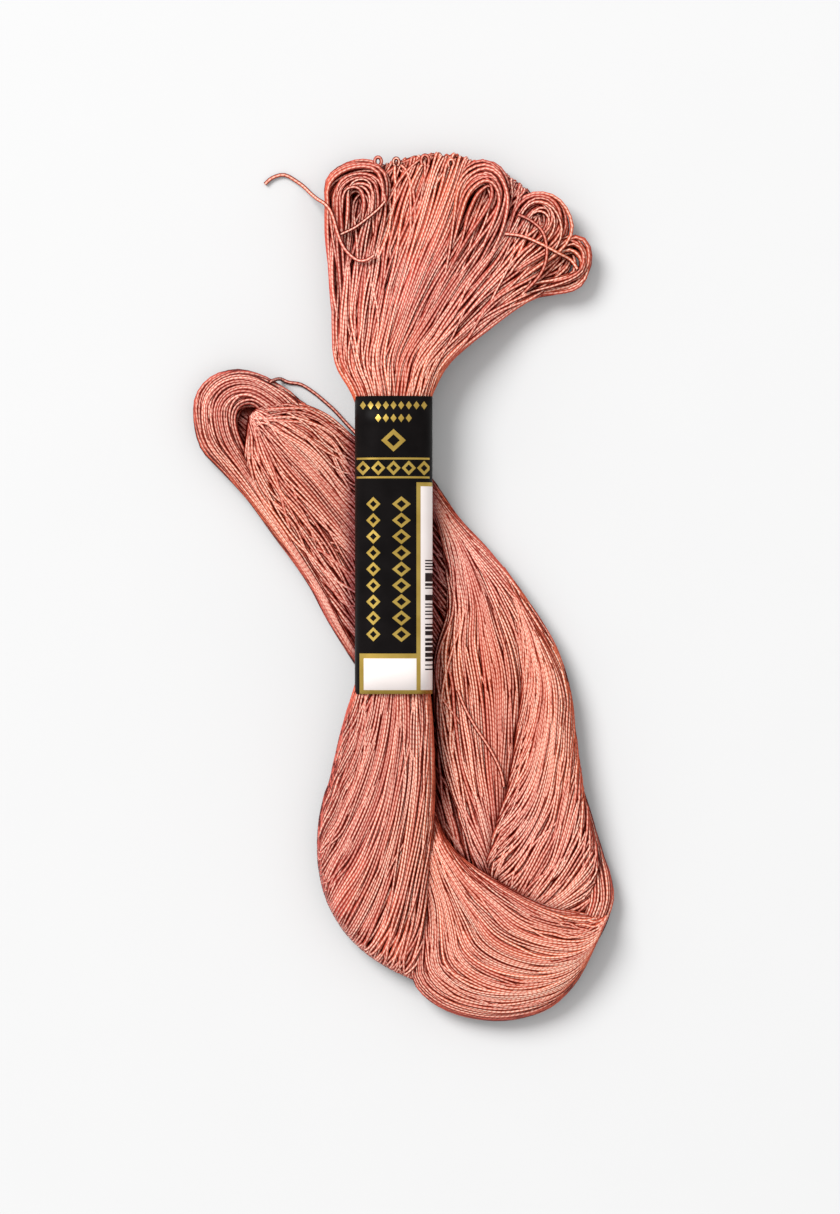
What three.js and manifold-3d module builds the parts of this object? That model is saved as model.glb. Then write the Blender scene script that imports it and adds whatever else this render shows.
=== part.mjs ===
// A hank of twisted pearl-cotton embroidery thread in its paper band, lying on a flat surface.
// Millimetres, +Z up, the surface at z = 0 and the origin under the middle of the hank.
// The loop ends of the hank fan out at +Y; its other end is the lobe at -X, +Y.
import * as THREE from "three";
import { mergeVertices } from "three/addons/utils/BufferGeometryUtils.js";
import Module from "manifold-3d";

const wasm = await Module();
wasm.setup();

// Driving dimensions
const THREAD = 0.7; // diameter of the thread
const GAP = 0.3; // clearance kept between touching pieces
const BAND = { x: -2.1, bottom: -21.3, top: 39.1, width: 15.8, height: 9.6, wall: 0.4, z: 9.3 };
const BAND_SQUARENESS = 2.5; // exponent of the band's rounded section
const BAND_POINTS = 48; // points round that section
const WAIST_OVERRUN = 1.6; // how far the waist runs past each end of the band
const FLOOR_MARGIN = 20; // size of the cutting blocks beyond the hank
const HANK_REACH = 100; // half length of a block that covers the whole hank

const FINEST_DETAIL = 0.03; // the booleans' slivers below this are joined away
const LOCK_SQUARENESS = 0.85; // 1 is an ellipse, lower is boxier
const RIDGE_HEIGHT = 0.35; // how far the bunched threads stand out
// How finely each kind of lock is made: points round a section, distance between sections, ridges
// of bunched threads round it, and over what length its far end closes.
const NARROW = { points: 10, step: 5, ridges: 0, closing: 0 };
const BROAD = { points: 20, step: 5, ridges: 5, closing: 0 };
const SPREAD = { points: 32, step: 5, ridges: 8, closing: 3.2 };
const CLOSING_ANGLES = [35, 64, 88]; // degrees round the rounded far end

const COTTON = new THREE.MeshStandardMaterial({ color: 0xdf8272, roughness: 0.55, metalness: 0 });
const PAPER = new THREE.MeshStandardMaterial({ color: 0x14110f, roughness: 0.35, metalness: 0 });

// A lock is a tress of threads that lie side by side. Each row of its table is a section:
// ax, ay, az and bx, by, bz are its two edges, t is its thickness, turn is how far its threads
// have wound round it in degrees, and bow is how far its middle bows forwards.
const COLUMNS = ["ax", "ay", "az", "bx", "by", "bz", "t", "turn", "bow"];

const LOCKS = {
  // The threads from the band down to the turn, which wrap under its left side
  leg: [
    [5.2, -18, 9.3, -9.6, -18, 9.3, 8.2, 0],
    [6.0, -27.0, 8.8, -11.2, -23.0, 8.6, 8.8, 0, 0.6],
    [6.4, -37.0, 7.8, -12.6, -27.8, 7.4, 9.6, 0, 1.6],
    [6.4, -47.5, 6.8, -13.7, -32.0, 6.2, 10.4, 0, 3.0],
    [6.0, -57.5, 6.0, -14.5, -35.6, 5.2, 10.6, 0, 4.6],
    [5.6, -66.0, 5.4, -15.2, -38.8, 4.6, 10.2, 0, 6.0],
    [5.2, -72.6, 4.8, -16.2, -41.6, 4.2, 9.4, 0, 7.2],
    [4.6, -77.4, 4.3, -16.8, -44.2, 3.9, 8.4, 0, 7.8],
    [3.8, -80.6, 3.7, -17.2, -46.2, 3.6, 7.6, 0, 8.0],
  ],
  // The threads that sweep out from the crease of the turn and wrap under its lower right side
  sweep: [
    [5.6, -41.0, 2.6, 2.4, -42.5, 2.6, 3.0, 0],
    [7.0, -46.5, 4.0, 3.0, -48.5, 3.8, 5.0, 0],
    [9.0, -51.2, 5.2, 3.2, -54.5, 3.8, 7.6, 0, 0.5],
    [12.8, -55.3, 5.7, 3.2, -60.0, 3.6, 9.2, 0, 1.4],
    [17.6, -58.5, 5.8, 3.2, -65.0, 3.5, 9.8, 0, 2.8],
    [23.6, -61.6, 5.6, 3.2, -70.2, 3.4, 9.8, 0, 4.6],
    [29.6, -64.4, 5.2, 3.4, -75.2, 3.4, 9.6, 0, 6.4],
    [35.0, -66.0, 4.8, 4.2, -79.6, 3.3, 9.0, 0, 8.2],
    [39.2, -66.4, 4.4, 5.2, -83.0, 3.2, 8.2, 0, 10.4],
    [42.0, -66.6, 4.0, 6.4, -85.3, 3.0, 7.4, 0, 11.6],
  ],
  // The outermost tress, which comes up from under the turn beside the right-hand limb
  hook: [
    [29.0, -72.0, 3.4, 33.0, -80.0, 3.2, 5.0, 0],
    [34.6, -68.5, 3.4, 39.4, -72.4, 3.2, 5.4, 10],
    [36.2, -64.6, 3.4, 42.8, -64.8, 3.2, 5.6, 24],
    [36.0, -60.2, 3.4, 42.6, -59.4, 3.0, 5.2, 38],
    [35.4, -55.4, 3.2, 41.0, -54.4, 2.8, 4.4, 52],
    [34.2, -50.2, 2.8, 39.4, -49.2, 2.6, 3.8, 66],
    [33.4, -45.6, 2.4, 38.0, -44.6, 2.4, 3.2, 80],
    [33.0, -42.0, 2.2, 36.8, -41.0, 2.2, 3.0, 90],
  ],
  // The bundle that crosses under the band, from the turn up to the lobe
  crossing: [
    [9.6, -60.3, 2.0, 38.0, -60.3, 2.0, 4.6, 0],
    [4.6, -48.9, 1.8, 38.0, -47.5, 1.8, 4.2, 0],
    [1.2, -39.3, 1.7, 35.0, -35.3, 1.7, 4.0, 0],
    [-1.4, -30.7, 1.7, 33.0, -22.3, 1.7, 4.0, 0],
    [-5.4, -22.7, 1.6, 27.2, -9.3, 1.6, 3.8, 0],
    [-10.8, -14.7, 1.6, 20.2, 2.7, 1.6, 3.8, 0],
    [-14.8, -6.3, 1.6, 11.6, 13.7, 1.6, 3.8, 0],
    [-20.2, 3.3, 1.6, 3.2, 22.1, 1.6, 3.8, 0],
    [-25.8, 11.3, 1.6, -4.8, 27.7, 1.6, 3.8, 0],
    [-31.2, 18.1, 1.6, -13.8, 32.7, 1.6, 3.8, 0],
    [-35.8, 24.7, 1.6, -22.4, 37.7, 1.6, 3.8, 0],
    [-38.4, 31.7, 1.6, -29.8, 39.7, 1.6, 3.8, 0],
  ],
  // The inner tress of the right-hand limb
  limb: [
    [-4.0, 20.0, 2.0, 0.8, 30.0, 2.0, 3.0, 0],
    [3.0, 17.0, 2.2, 6.2, 22.5, 2.0, 3.4, 2],
    [6.6, 12.0, 2.8, 11.6, 14.5, 2.6, 4.2, 4],
    [8.2, 4.0, 3.2, 17.6, 8.0, 3.0, 5.0, 7],
    [8.4, -5.0, 3.6, 23.2, 1.0, 3.4, 5.6, 10],
    [7.6, -13.5, 3.9, 28.0, -6.5, 3.6, 6.0, 14],
    [7.8, -21.5, 4.0, 30.6, -15.5, 3.7, 6.0, 18],
    [8.8, -29.5, 4.0, 30.2, -25.5, 3.7, 6.0, 22],
    [10.6, -37.5, 4.0, 28.2, -36.0, 3.6, 5.8, 27],
    [12.6, -45.0, 3.8, 25.0, -45.5, 3.4, 5.4, 32],
    [14.4, -52.0, 3.6, 21.8, -53.0, 3.2, 5.0, 37],
    [15.6, -58.5, 3.2, 20.0, -60.0, 2.8, 4.4, 42],
    [16.6, -65.0, 2.8, 20.0, -66.0, 2.6, 3.6, 46],
  ],
  // The outer tress of that limb, which lies over the inner one and dives under the turn
  overlay: [
    [19.0, 3.0, 3.6, 20.6, 4.6, 3.0, 2.4, 0],
    [21.0, -5.0, 4.4, 26.8, -4.2, 3.4, 3.6, -4],
    [22.6, -12.5, 5.2, 31.4, -12.0, 3.8, 4.8, -10],
    [23.6, -20.8, 5.8, 34.2, -20.8, 4.2, 5.6, -17],
    [22.6, -29.5, 6.2, 35.4, -30.0, 4.5, 6.0, -25],
    [21.4, -37.3, 6.4, 36.8, -39.5, 4.7, 6.2, -34],
    [19.6, -44.5, 6.4, 38.6, -47.5, 4.8, 6.2, -44],
    [17.6, -50.5, 6.2, 40.1, -54.0, 4.8, 6.0, -54],
    [16.6, -55.5, 5.6, 40.6, -60.6, 4.4, 5.6, -64],
    [17.4, -59.5, 4.6, 38.0, -67.0, 3.8, 4.8, -74],
    [18.0, -63.5, 3.4, 31.0, -71.6, 3.0, 3.8, -84],
  ],
  // The lobe, whose threads turn round its eye and come back
  lobe: [
    [-15.0, 35.6, 2.0, -22.4, 25.0, 2.0, 2.6, 0],
    [-18.2, 38.2, 2.2, -24.8, 28.6, 2.2, 3.2, 3],
    [-21.8, 40.3, 2.6, -27.2, 32.0, 2.8, 4.2, 6],
    [-26.0, 42.5, 3.0, -29.0, 35.0, 3.4, 5.4, 10],
    [-30.6, 44.5, 3.1, -30.4, 36.7, 3.9, 6.2, 14],
    [-35.2, 45.1, 3.1, -31.8, 36.9, 4.0, 6.3, 18],
    [-39.8, 43.5, 3.1, -33.0, 36.3, 4.0, 6.3, 22],
    [-43.0, 39.9, 3.1, -33.6, 34.9, 4.0, 6.3, 26],
    [-43.4, 34.7, 3.1, -33.6, 33.1, 4.0, 6.3, 30],
    [-42.0, 29.1, 3.0, -32.8, 30.3, 3.6, 6.0, 34],
    [-38.0, 24.7, 2.8, -30.8, 25.7, 3.0, 5.4, 38],
    [-32.4, 18.7, 2.5, -27.4, 18.7, 2.4, 4.8, 42],
    [-26.8, 11.1, 2.3, -21.6, 9.7, 2.2, 4.4, 46],
    [-20.6, 2.7, 2.2, -15.4, -0.7, 2.0, 4.0, 50],
    [-15.0, -7.3, 2.0, -9.8, -11.3, 1.9, 3.8, 54],
    [-9.2, -16.7, 1.9, -4.2, -20.3, 1.9, 3.6, 58],
  ],
  // The threads that spread from the lobe's eye to the band
  rays: [
    [-30.2, 36.6, 4.0, -31.8, 34.6, 4.0, 2.4, 0],
    [-28.4, 38.2, 4.0, -32.4, 30.8, 3.8, 4.4, 0, 0.2],
    [-23.4, 38.8, 3.4, -33.0, 25.0, 3.5, 5.2, 0, 0.6],
    [-18.4, 37.4, 3.0, -30.4, 17.4, 3.2, 5.2, 0, 1.0],
    [-13.8, 35.0, 2.6, -25.8, 9.4, 2.9, 4.8, 0, 1.0],
    [-9.8, 32.4, 2.3, -20.6, 1.0, 2.5, 4.0, 0, 0.8],
    [-6.0, 29.8, 2.1, -14.4, -7.6, 2.2, 3.8, 0, 0.4],
    [-2.4, 26.0, 2.0, -8.4, -16.0, 2.0, 3.6, 0],
  ],
  // The fan of looped ends
  fan: [
    [-9.4, 36, 9.0, 5.0, 36, 9.0, 7.6, 0],
    [-11.0, 40.2, 9.0, 6.2, 40.2, 9.0, 8.2, 0],
    [-14.1, 45.7, 7.9, 9.6, 46.0, 7.9, 8.0, 0, 0.8],
    [-15.0, 52.7, 6.3, 16.2, 51.6, 6.3, 7.6, 0, 2.6],
    [-15.2, 60.7, 5.0, 23.0, 56.6, 4.8, 7.2, 0, 5.2],
    [-15.4, 68.7, 3.9, 29.8, 60.2, 3.8, 6.9, 0, 8.6],
    [-15.6, 76.8, 3.1, 34.2, 63.6, 3.1, 6.7, 0, 12.2],
    [-15.6, 80.8, 2.8, 35.6, 65.8, 2.8, 6.4, 0, 14.8],
  ],
  // Four curls on the fan: each comes out of it, turns round its eye and goes back in
  curl_left: [
    [-11.0, 47.1, 4.8, -8.4, 47.7, 5.0, 2.0, 0],
    [-14.4, 57.7, 4.8, -10.4, 57.7, 5.2, 3.6, 6],
    [-15.6, 67.9, 4.4, -11.0, 69.1, 5.2, 4.6, 8],
    [-16.4, 77.3, 4.4, -10.4, 76.5, 5.4, 4.8, 10],
    [-16.8, 82.5, 4.4, -10.0, 79.7, 5.4, 5.2, 12],
    [-14.2, 85.9, 4.4, -9.4, 80.9, 5.6, 5.2, 14],
    [-9.2, 87.6, 4.6, -8.8, 81.1, 5.8, 5.2, 16],
    [-4.8, 86.7, 4.8, -8.4, 80.1, 5.8, 5.2, 18],
    [-3.2, 82.1, 5.0, -8.4, 78.5, 5.8, 5.2, 20],
    [-3.7, 75.7, 5.0, -8.9, 76.1, 5.6, 4.8, 22],
    [-5.2, 67.3, 4.8, -10.0, 69.3, 5.2, 4.4, 24],
    [-6.8, 56.7, 4.0, -10.6, 59.7, 4.2, 2.0, 26],
  ],
  curl_middle: [
    [2.8, 52.7, 5.4, 4.8, 52.7, 5.4, 2.0, 0],
    [4.8, 59.7, 6.0, 7.6, 59.7, 6.0, 4.0, 6],
    [7.8, 68.9, 5.6, 10.8, 69.3, 5.8, 4.6, 8],
    [9.8, 76.7, 5.4, 12.4, 75.9, 5.8, 4.8, 10],
    [10.8, 82.7, 5.2, 14.2, 79.3, 6.0, 5.0, 12],
    [13.4, 86.3, 5.0, 15.6, 80.8, 6.0, 5.2, 14],
    [17.4, 87.3, 5.0, 16.4, 81.2, 6.0, 5.2, 16],
    [20.8, 84.9, 5.0, 16.8, 80.4, 6.0, 5.2, 18],
    [22.2, 80.1, 5.0, 16.6, 78.9, 6.0, 5.2, 20],
    [21.2, 74.1, 5.0, 14.8, 76.3, 6.0, 5.0, 22],
    [18.2, 67.9, 5.0, 12.0, 72.1, 6.0, 4.8, 24],
    [14.4, 61.7, 5.4, 9.2, 66.7, 6.2, 4.2, 26],
    [10.4, 55.7, 4.6, 7.0, 59.7, 4.8, 2.0, 28],
  ],
  curl_right: [
    [9.6, 53.7, 4.6, 11.2, 52.9, 4.6, 2.0, 0],
    [12.8, 59.1, 5.0, 15.0, 57.9, 5.0, 4.0, 6],
    [17.8, 67.3, 4.6, 20.4, 65.7, 4.6, 4.6, 8],
    [20.8, 73.9, 4.4, 23.8, 72.1, 4.6, 4.6, 10],
    [22.6, 78.3, 4.4, 25.4, 75.5, 4.8, 4.8, 12],
    [25.9, 80.8, 4.4, 26.8, 77.3, 4.8, 4.8, 14],
    [30.3, 80.6, 4.4, 27.9, 77.1, 4.8, 4.8, 16],
    [33.4, 77.8, 4.4, 28.3, 75.9, 4.8, 4.8, 18],
    [34.6, 73.2, 4.4, 27.7, 73.9, 4.8, 4.8, 20],
    [32.2, 68.7, 4.4, 25.6, 71.1, 4.8, 4.6, 22],
    [26.4, 64.5, 4.4, 21.6, 66.9, 4.8, 4.4, 24],
    [19.6, 59.3, 3.6, 17.2, 60.9, 3.8, 2.0, 26],
  ],
  curl_low: [
    [9.0, 49.1, 5.0, 9.8, 48.5, 5.0, 2.0, 0],
    [14.8, 55.9, 5.0, 16.2, 54.7, 5.0, 4.0, 6],
    [22.8, 63.9, 4.2, 24.4, 62.1, 4.2, 4.4, 8],
    [29.2, 69.3, 4.0, 30.8, 66.9, 4.0, 4.4, 10],
    [33.4, 72.4, 3.8, 34.0, 68.5, 3.8, 4.4, 12],
    [36.6, 71.4, 3.6, 35.6, 67.7, 3.8, 4.4, 14],
    [37.7, 67.8, 3.6, 36.1, 66.3, 3.8, 4.4, 16],
    [37.2, 64.6, 3.6, 35.7, 65.0, 3.8, 4.4, 18],
    [35.2, 62.1, 3.6, 33.8, 64.1, 3.8, 4.4, 20],
    [31.2, 60.9, 3.6, 30.4, 63.3, 3.8, 4.4, 22],
    [26.2, 58.9, 3.6, 25.2, 61.1, 3.8, 4.4, 24],
    [20.0, 55.1, 4.0, 18.8, 57.1, 4.2, 4.2, 26],
    [13.6, 51.1, 4.2, 12.6, 52.5, 4.4, 2.0, 28],
  ],
};
const FAN_CURLS = ["curl_left", "curl_middle", "curl_right", "curl_low"];
const TURN_LOCKS = ["leg", "sweep"];
const LOWER_LOCKS = ["crossing", "limb", "overlay", "lobe", "rays", "hook"];

// The loose end: over the left curl, down its side and out along the surface
const LOOSE_END = [
  [-6.1, 67.9, 8.5], [-7.8, 66.9, 8.35], [-9.8, 67.1, 7.95], [-12.2, 69.4, 7.95],
  [-13.5, 72.4, 8], [-14.3, 75.2, 7.95], [-15.1, 77.2, 7.8], [-16.3, 78.6, 7.1],
  [-17.7, 79.6, 5.1], [-19.1, 80.9, 2.8], [-20.3, 82.2, 1], [-21.8, 83.4, 0.4],
  [-24.5, 84.9, 0.4], [-27, 84.3, 0.4], [-28.5, 83, 0.4],
];
const LOOSE_END_STEPS = 22;
const CORD_SIDES = 8;

const named = (columns, row) => Object.fromEntries(columns.map((name, i) => [name, row[i] ?? 0]));

// Values between the rows of a table, on a smooth curve through them.
function between(columns, table, steps) {
  const rows = table.map((row) => named(columns, row));
  const at = (i) => rows[Math.min(Math.max(i, 0), rows.length - 1)];
  const blend = (p, q, r, s, u) =>
    0.5 * (2 * q + (r - p) * u + (2 * p - 5 * q + 4 * r - s) * u * u + (3 * q - p - 3 * r + s) * u ** 3);
  const made = [];
  for (let i = 0; i < rows.length - 1; i++) {
    const [p, q, r, s] = [at(i - 1), at(i), at(i + 1), at(i + 2)];
    for (let k = 0; k < steps; k++) {
      made.push(Object.fromEntries(columns.map((c) => [c, blend(p[c], q[c], r[c], s[c], k / steps)])));
    }
  }
  return [...made, rows.at(-1)];
}

const edge = (s, side) => new THREE.Vector3(s[side + "x"], s[side + "y"], s[side + "z"]);

// Sections an even step apart along a lock's longer edge, and round its closing far end.
function stations(table, { step, closing }) {
  const fine = between(COLUMNS, table, 8);
  const reach = [0];
  for (let i = 1; i < fine.length; i++) {
    const moved = ["a", "b"].map((side) => edge(fine[i], side).distanceTo(edge(fine[i - 1], side)));
    reach.push(reach[i - 1] + Math.max(...moved));
  }
  const section = (at, close) => {
    const i = Math.min(Math.max(reach.findIndex((r) => r >= at), 1), fine.length - 1);
    const u = (at - reach[i - 1]) / (reach[i] - reach[i - 1]);
    const mixed = COLUMNS.map((c) => [c, fine[i - 1][c] * (1 - u) + fine[i][c] * u]);
    return { ...Object.fromEntries(mixed), close };
  };
  const open = reach.at(-1) - closing;
  const count = Math.max(3, Math.round(open / step));
  const made = Array.from({ length: count + 1 }, (_, i) => section((open * i) / count, 1));
  if (!closing) return made;
  const round = CLOSING_ANGLES.map((angle) => THREE.MathUtils.degToRad(angle));
  return [...made, ...round.map((a) => section(open + closing * Math.sin(a), Math.cos(a)))];
}

// The ring of points round one section. ahead is the way the lock runs there.
function ring(s, { points, ridges }, ahead) {
  const middle = edge(s, "a").add(edge(s, "b")).multiplyScalar(0.5);
  const half = edge(s, "b").sub(edge(s, "a")).multiplyScalar(0.5);
  const width = half.length();
  const up = new THREE.Vector3(0, 0, 1);
  const forward = new THREE.Vector3(-half.y, half.x, 0).normalize();
  if (forward.dot(ahead) < 0) forward.negate();
  const wound = THREE.MathUtils.degToRad(s.turn);
  return Array.from({ length: points }, (_, i) => {
    const angle = (i / points) * 2 * Math.PI;
    const [c, n] = [Math.cos(angle), Math.sin(angle)];
    const across = Math.sign(c) * Math.abs(c) ** LOCK_SQUARENESS;
    const high = Math.sign(n) * Math.abs(n) ** LOCK_SQUARENESS * s.close;
    const extra = ridges ? RIDGE_HEIGHT * Math.abs(Math.sin((ridges / 2) * (angle + wound))) : 0;
    return middle
      .clone()
      .addScaledVector(half, across * (1 + extra / width))
      .addScaledVector(up, high * (s.t / 2 + extra))
      .addScaledVector(forward, s.bow * (1 - across * across));
  });
}

// A closed solid through a row of rings, with a flat cap at each end.
function loft(rings) {
  const count = rings[0].length;
  const positions = rings.flat().flatMap((p) => [p.x, p.y, p.z]);
  const index = [];
  for (let i = 0; i < rings.length - 1; i++) {
    for (let j = 0; j < count; j++) {
      const [a, b] = [i * count + j, i * count + ((j + 1) % count)];
      index.push(a, b, b + count, a, b + count, a + count);
    }
  }
  const last = (rings.length - 1) * count;
  for (let j = 1; j < count - 1; j++) {
    index.push(0, j + 1, j, last, last + j, last + j + 1);
  }
  const geometry = new THREE.BufferGeometry();
  geometry.setAttribute("position", new THREE.Float32BufferAttribute(positions, 3));
  geometry.setIndex(index);
  return solid(geometry);
}

function solid(geometry) {
  const bare = geometry.clone();
  bare.deleteAttribute("normal");
  bare.deleteAttribute("uv");
  const merged = mergeVertices(bare, 1e-4);
  const vertProperties = merged.attributes.position.array;
  const make = (triVerts) => new wasm.Manifold(new wasm.Mesh({ numProp: 3, vertProperties, triVerts }));
  const faces = new Uint32Array(merged.index.array);
  const made = make(faces);
  return made.volume() > 0 ? made : make(faces.slice().reverse());
}

function geometryOf(made) {
  const mesh = made.getMesh();
  const geometry = new THREE.BufferGeometry();
  geometry.setAttribute("position", new THREE.BufferAttribute(new Float32Array(mesh.vertProperties), 3));
  geometry.setIndex(new THREE.BufferAttribute(new Uint32Array(mesh.triVerts), 1));
  geometry.computeVertexNormals();
  return geometry;
}

function block(x0, x1, y0, y1, z0, z1) {
  const box = new THREE.BoxGeometry(x1 - x0, y1 - y0, z1 - z0);
  box.translate((x0 + x1) / 2, (y0 + y1) / 2, (z0 + z1) / 2);
  return solid(box);
}

// The band's rounded outline, made larger or smaller all round by grow.
function bandOutline(Kind, grow) {
  const [w, h] = [BAND.width / 2 + grow, BAND.height / 2 + grow];
  const points = Array.from({ length: BAND_POINTS }, (_, i) => {
    const angle = (i / BAND_POINTS) * 2 * Math.PI;
    const [c, s] = [Math.cos(angle), Math.sin(angle)];
    const power = 2 / BAND_SQUARENESS;
    return new THREE.Vector2(
      w * Math.sign(c) * Math.abs(c) ** power,
      h * Math.sign(s) * Math.abs(s) ** power,
    );
  });
  return new Kind(points);
}

// A prism of the band's outline along Y, hollow where a hole is given.
function bandPrism(grow, y0, y1, hole) {
  const shape = bandOutline(THREE.Shape, grow);
  if (hole !== undefined) shape.holes.push(bandOutline(THREE.Path, hole));
  const prism = new THREE.ExtrudeGeometry(shape, { depth: y1 - y0, bevelEnabled: false, steps: 1 });
  prism.rotateX(Math.PI / 2);
  prism.translate(BAND.x, y1, BAND.z);
  return solid(prism);
}

function lock(table, form) {
  const made = stations(table, form);
  const middle = (i) => edge(made[i], "a").add(edge(made[i], "b"));
  const ahead = (i) => middle(Math.min(i + 1, made.length - 1)).sub(middle(Math.max(i - 1, 0)));
  return loft(made.map((s, i) => ring(s, form, ahead(i))));
}

function hankSolid() {
  const far = HANK_REACH + FLOOR_MARGIN;
  const bandTop = BAND.top + GAP;
  const bandBottom = BAND.bottom - GAP;
  const joined = (parts) => parts.reduce((a, b) => a.add(b));
  const locks = (names, form) => joined(names.map((name) => lock(LOCKS[name], form)));
  const fan = lock(LOCKS.fan, SPREAD)
    .add(locks(FAN_CURLS, NARROW))
    .subtract(block(-far, far, -far, bandTop, -far, far));
  const turn = locks(TURN_LOCKS, SPREAD).subtract(block(-far, far, bandBottom, far, -far, far));
  const waist = bandPrism(-BAND.wall - GAP, bandBottom - WAIST_OVERRUN, bandTop + WAIST_OVERRUN);
  const aroundBand = bandPrism(GAP, bandBottom, bandTop);
  const under = locks(LOWER_LOCKS, BROAD).subtract(aroundBand);
  const wound = joined([under, fan, turn, waist]).subtract(
    block(-far, far, -far, far, -FLOOR_MARGIN, 0),
  );
  return filled(wound.asOriginal().simplify(FINEST_DETAIL));
}

// The locks can close round a pocket of air, which the thread itself fills.
function filled(made) {
  return made.decompose().reduce((a, b) => (b.volume() > a.volume() ? b : a));
}

function bandSolid() {
  return bandPrism(0, BAND.bottom, BAND.top, -BAND.wall);
}

function looseEndSolid() {
  const route = new THREE.CatmullRomCurve3(LOOSE_END.map((p) => new THREE.Vector3(...p)));
  const section = new THREE.Shape(
    Array.from({ length: CORD_SIDES }, (_, i) => {
      const angle = ((i + 0.5) / CORD_SIDES) * 2 * Math.PI;
      return new THREE.Vector2(Math.cos(angle), Math.sin(angle)).multiplyScalar(THREAD / 2);
    }),
  );
  return solid(new THREE.ExtrudeGeometry(section, { steps: LOOSE_END_STEPS, extrudePath: route }));
}

function mesh(name, made, material) {
  const piece = new THREE.Mesh(geometryOf(made), material);
  piece.name = name;
  return piece;
}

const hank = new THREE.Group();
hank.add(
  mesh("hank", hankSolid(), COTTON),
  mesh("paper_band", bandSolid(), PAPER),
  mesh("loose_end", looseEndSolid(), COTTON),
);
export default hank;
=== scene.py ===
"""A hank of two-ply twisted cotton thread in its paper band, lying on a pale surface."""

import math

import bmesh
import bpy
import numpy as np
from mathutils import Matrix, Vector

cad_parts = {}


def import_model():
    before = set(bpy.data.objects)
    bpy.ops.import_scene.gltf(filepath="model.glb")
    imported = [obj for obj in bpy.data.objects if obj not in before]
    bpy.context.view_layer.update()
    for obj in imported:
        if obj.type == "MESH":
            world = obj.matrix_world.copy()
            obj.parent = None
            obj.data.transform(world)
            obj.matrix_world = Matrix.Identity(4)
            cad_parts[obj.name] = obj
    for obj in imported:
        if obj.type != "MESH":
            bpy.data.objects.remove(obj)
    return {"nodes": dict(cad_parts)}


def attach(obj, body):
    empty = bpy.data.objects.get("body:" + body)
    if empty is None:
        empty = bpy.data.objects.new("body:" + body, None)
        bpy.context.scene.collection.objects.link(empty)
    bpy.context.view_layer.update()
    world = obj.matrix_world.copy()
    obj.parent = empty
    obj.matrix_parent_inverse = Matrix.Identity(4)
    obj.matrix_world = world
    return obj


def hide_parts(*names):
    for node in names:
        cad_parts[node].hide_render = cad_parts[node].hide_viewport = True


MM = 0.001

# ---- sizes of the real thing, in millimetres ----
THREAD = 0.82
PLY_PITCH = 2.0  # one whole turn of the two plies
BAND = {"x": -2.1, "bottom": -21.3, "top": 39.1, "width": 15.8, "height": 9.6, "wall": 0.4, "z": 9.3}
BAND_SQUARENESS = 2.5
LOCK_SQUARENESS = 0.85  # 1 is an ellipse, lower is boxier

# ---- how threads are laid ----
SIDES = 5  # sides of a thread's tube
STEP = 2.0  # distance between the points of a thread
PACKED = 0.78  # distance between threads that press on each other
SHELL = 1.9  # threads deeper than this are never seen and aren't made
CORE_INSET = 1.3  # the dark core lies this far inside a lock
CORE_FLOOR = 0.4  # and at least this far above the surface
CORE_LEAST = 0.15  # half the core's least width or height
LOCK_LEAST = 0.4  # half the least width or height that a lock's threads fill
SEED = 7
RAGGED_SEED, STRAY_SEED, LOT_SEED = 50, 60, 900  # added to the seed of a lock or a mesh
CLOSING_ANGLES = np.radians([18, 35, 50, 64, 77, 90])  # round the rounded far end of a lock
# A thread's place round a lock against its angle in the section, so that threads which wind
# round a wide flat lock stay evenly spread over its face
PLACE_ROUND = np.linspace(0, math.pi, 181)
ANGLE_ROUND = 0.3 * PLACE_ROUND + 0.7 * np.arccos(1 - 2 * PLACE_ROUND / math.pi)

# ---- the view ----
FRAME = (840, 1214)
MM_PER_PIXEL = 0.204
AXIS_PIXEL = (404, 589)  # where X = 0, Y = 0 falls in the frame
CAMERA_HEIGHT = 1.1  # in metres
SENSOR = 24.0
HANK_MIDDLE = 0.006  # in metres; the camera's height is counted from here
STAGE_SIZE = 3.0  # from its middle to each edge, in metres like the light's place and size
KEY_LIGHT = {"place": (-2.55, 2.58, 3.6), "size": 2.8, "power": 250}
WORLD_STRENGTH = 0.68

# ---- colours, as linear red, green, blue and alpha; a pair is the darkest and the palest ----
ROSE = (0.54, 0.060, 0.046, 1), (0.96, 0.20, 0.148, 1)
ORANGE = (0.66, 0.072, 0.030, 1), (1.0, 0.23, 0.10, 1)
# painted shade in the groove between a thread's two plies
PLY_GROOVE_PAINTED_SHADE = (0.38, 0.035, 0.018, 1)
# painted highlight along each thread's crest
CREST_HIGHLIGHT = (1.0, 0.72, 0.58, 1)
FIBRE = (0.97, 0.45, 0.34, 1)
VALLEY_SHADE = (0.115, 0.005, 0.002, 1)  # painted shade down each thread's sides, where threads lie against each other
PAINTED_SHADE_BY_DEPTH = {"covered": (0.34, 0.12, 0.09, 1), "sunk": (0.44, 0.31, 0.38, 1)}  # painted shade; these multiply the colour where a thread lies under its neighbours or deep in a hollow
INSIDE_PAINTED_SHADE = (0.30, 0.012, 0.005, 1), (0.72, 0.10, 0.05, 1)  # painted shade: darker coral for the threads inside the hank
INK = (0.003, 0.0025, 0.0025, 1), (0.010, 0.008, 0.008, 1)
FOIL = (0.36, 0.22, 0.035, 1), (0.66, 0.47, 0.12, 1)
BARE_PAPER = (0.90, 0.80, 0.77, 1), (0.95, 0.88, 0.85, 1)
BARS = (0.03, 0.02, 0.02, 1)
SURFACE = (0.715, 0.715, 0.715, 1), (0.725, 0.725, 0.725, 1)

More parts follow.
